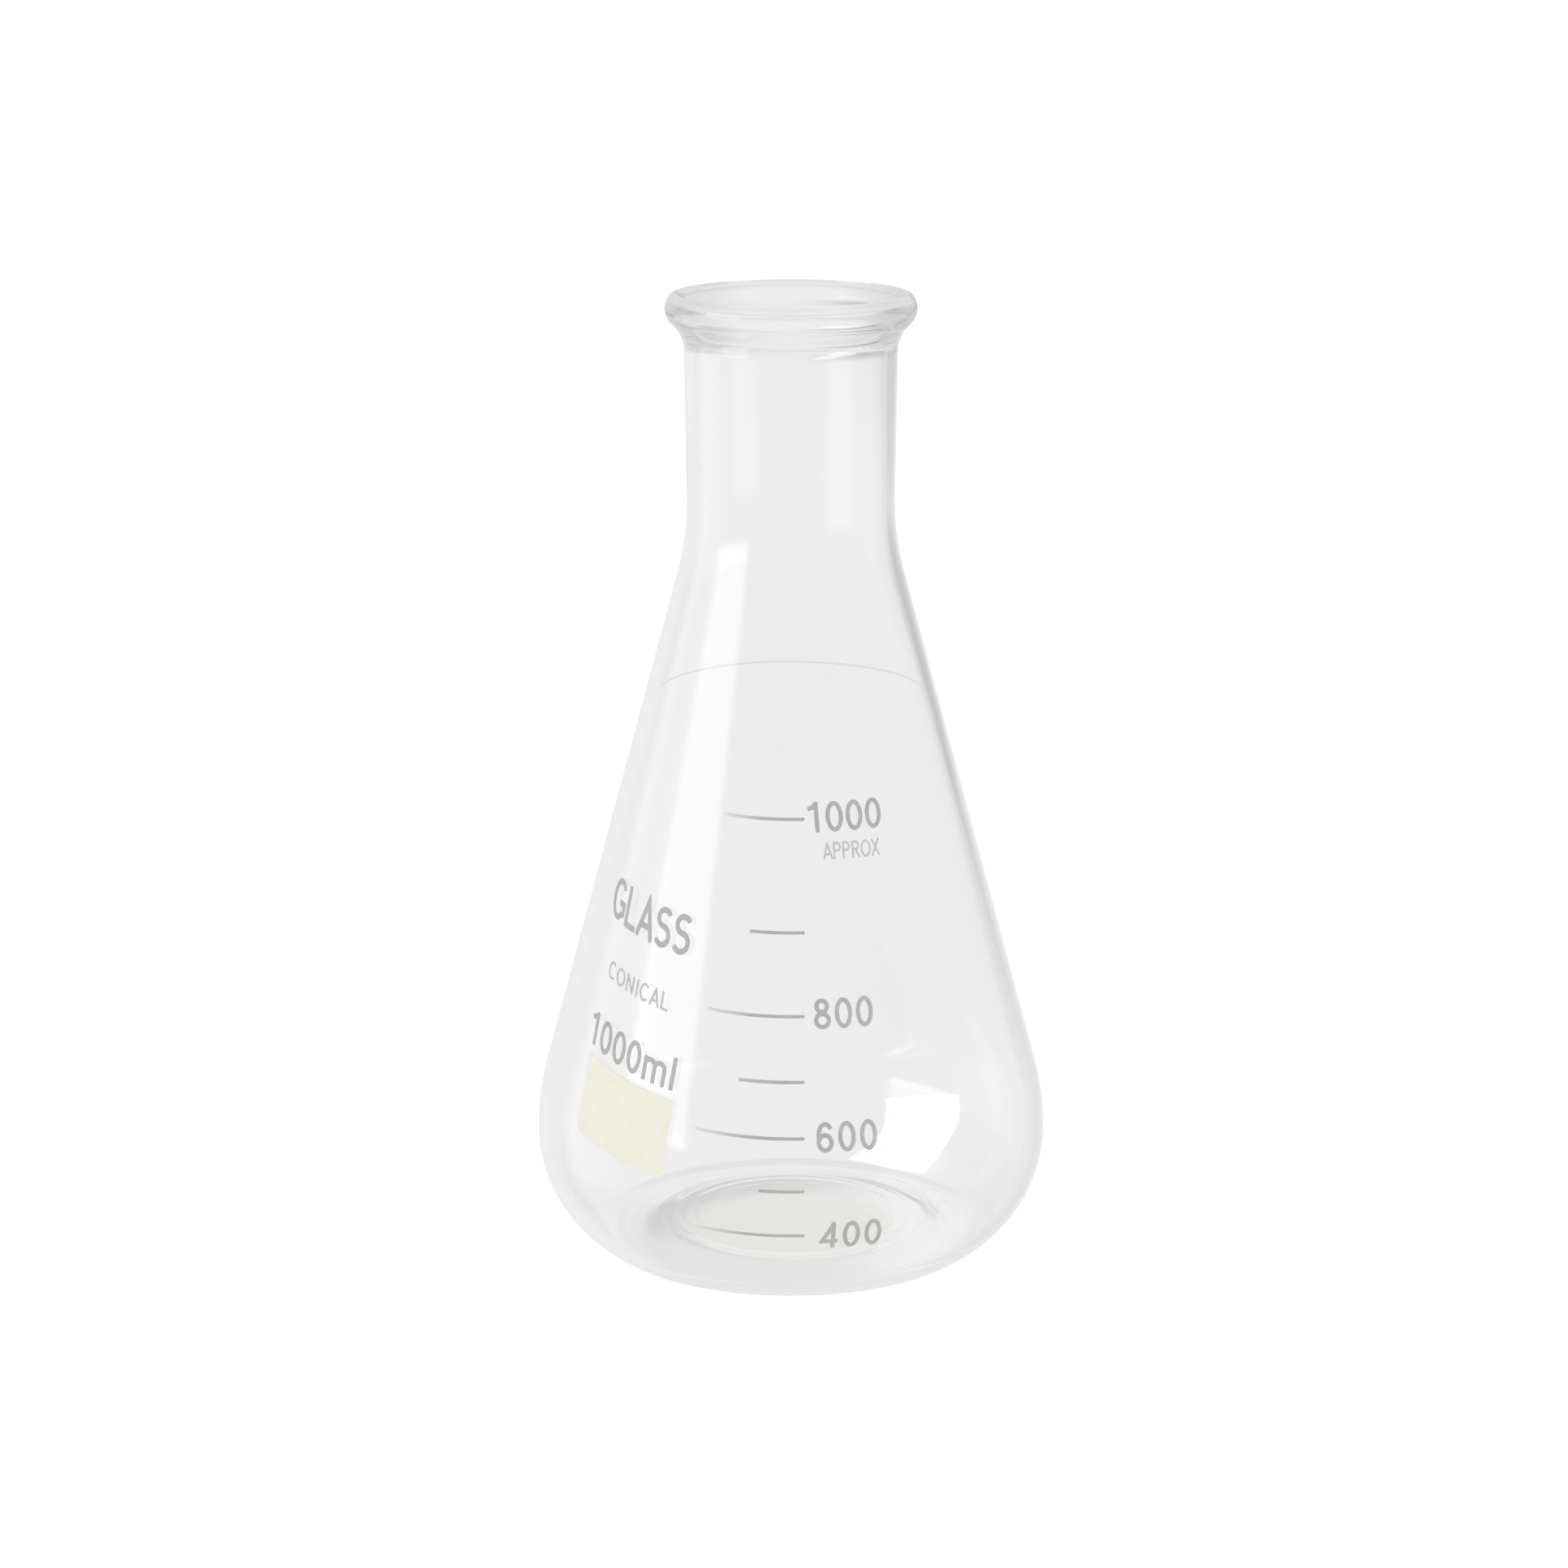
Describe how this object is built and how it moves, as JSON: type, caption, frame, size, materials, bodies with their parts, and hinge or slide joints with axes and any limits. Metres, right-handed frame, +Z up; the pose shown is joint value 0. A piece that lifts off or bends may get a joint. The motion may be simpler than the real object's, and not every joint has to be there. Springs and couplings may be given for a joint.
{
  "type": "conical flask",
  "caption": "Conical (Erlenmeyer) laboratory flask of clear glass with a beaded rim, rounded heel, enamel graduation scale, capacity mark and cream marking panel.",
  "frame": {"origin": "middle of the base, on the plane the flask stands on", "axes": "+Z up the flask's axis, towards the mouth; the graduation scale faces -Y"},
  "size_m": [0.126, 0.1261, 0.2365],
  "materials": {
    "clear_glass": "fire-polished clear glass",
    "grey_enamel": "thin fired enamel, satin",
    "pale_grey_enamel": "thin fired enamel, worn, satin",
    "cream_enamel": "thin fired enamel, matt so that a pencil marks it"
  },
  "bodies": {
    "root": {"glass_flask": "clear_glass", "approx_word_letter_1": "pale_grey_enamel", "approx_word_letter_2": "pale_grey_enamel", "approx_word_letter_3": "pale_grey_enamel", "approx_word_letter_4": "pale_grey_enamel", "approx_word_letter_5": "pale_grey_enamel", "approx_word_letter_6": "pale_grey_enamel", "capacity_character_1": "grey_enamel", "capacity_character_2": "grey_enamel", "capacity_character_3": "grey_enamel", "capacity_character_4": "grey_enamel", "capacity_character_5": "grey_enamel", "capacity_character_6": "grey_enamel", "glass_word_letter_1": "grey_enamel", "glass_word_letter_2": "grey_enamel", "glass_word_letter_3": "grey_enamel", "glass_word_letter_4": "grey_enamel", "glass_word_letter_5": "grey_enamel", "graduation_line_1000": "grey_enamel", "graduation_line_400": "grey_enamel", "graduation_line_500": "grey_enamel", "graduation_line_600": "grey_enamel", "graduation_line_700": "grey_enamel", "graduation_line_800": "grey_enamel", "graduation_line_900": "grey_enamel", "marking_panel": "cream_enamel", "numeral_1000_digit_1": "grey_enamel", "numeral_1000_digit_2": "grey_enamel", "numeral_1000_digit_3": "grey_enamel", "numeral_1000_digit_4": "grey_enamel", "numeral_400_digit_1": "grey_enamel", "numeral_400_digit_2": "grey_enamel", "numeral_400_digit_3": "grey_enamel", "numeral_600_digit_1": "grey_enamel", "numeral_600_digit_2": "grey_enamel", "numeral_600_digit_3": "grey_enamel", "numeral_800_digit_1": "grey_enamel", "numeral_800_digit_2": "grey_enamel", "numeral_800_digit_3": "grey_enamel", "shape_word_letter_1": "pale_grey_enamel", "shape_word_letter_2": "pale_grey_enamel", "shape_word_letter_3": "pale_grey_enamel", "shape_word_letter_4": "pale_grey_enamel", "shape_word_letter_5": "pale_grey_enamel", "shape_word_letter_6": "pale_grey_enamel", "shape_word_letter_7": "pale_grey_enamel"}
  },
  "joints": []
}
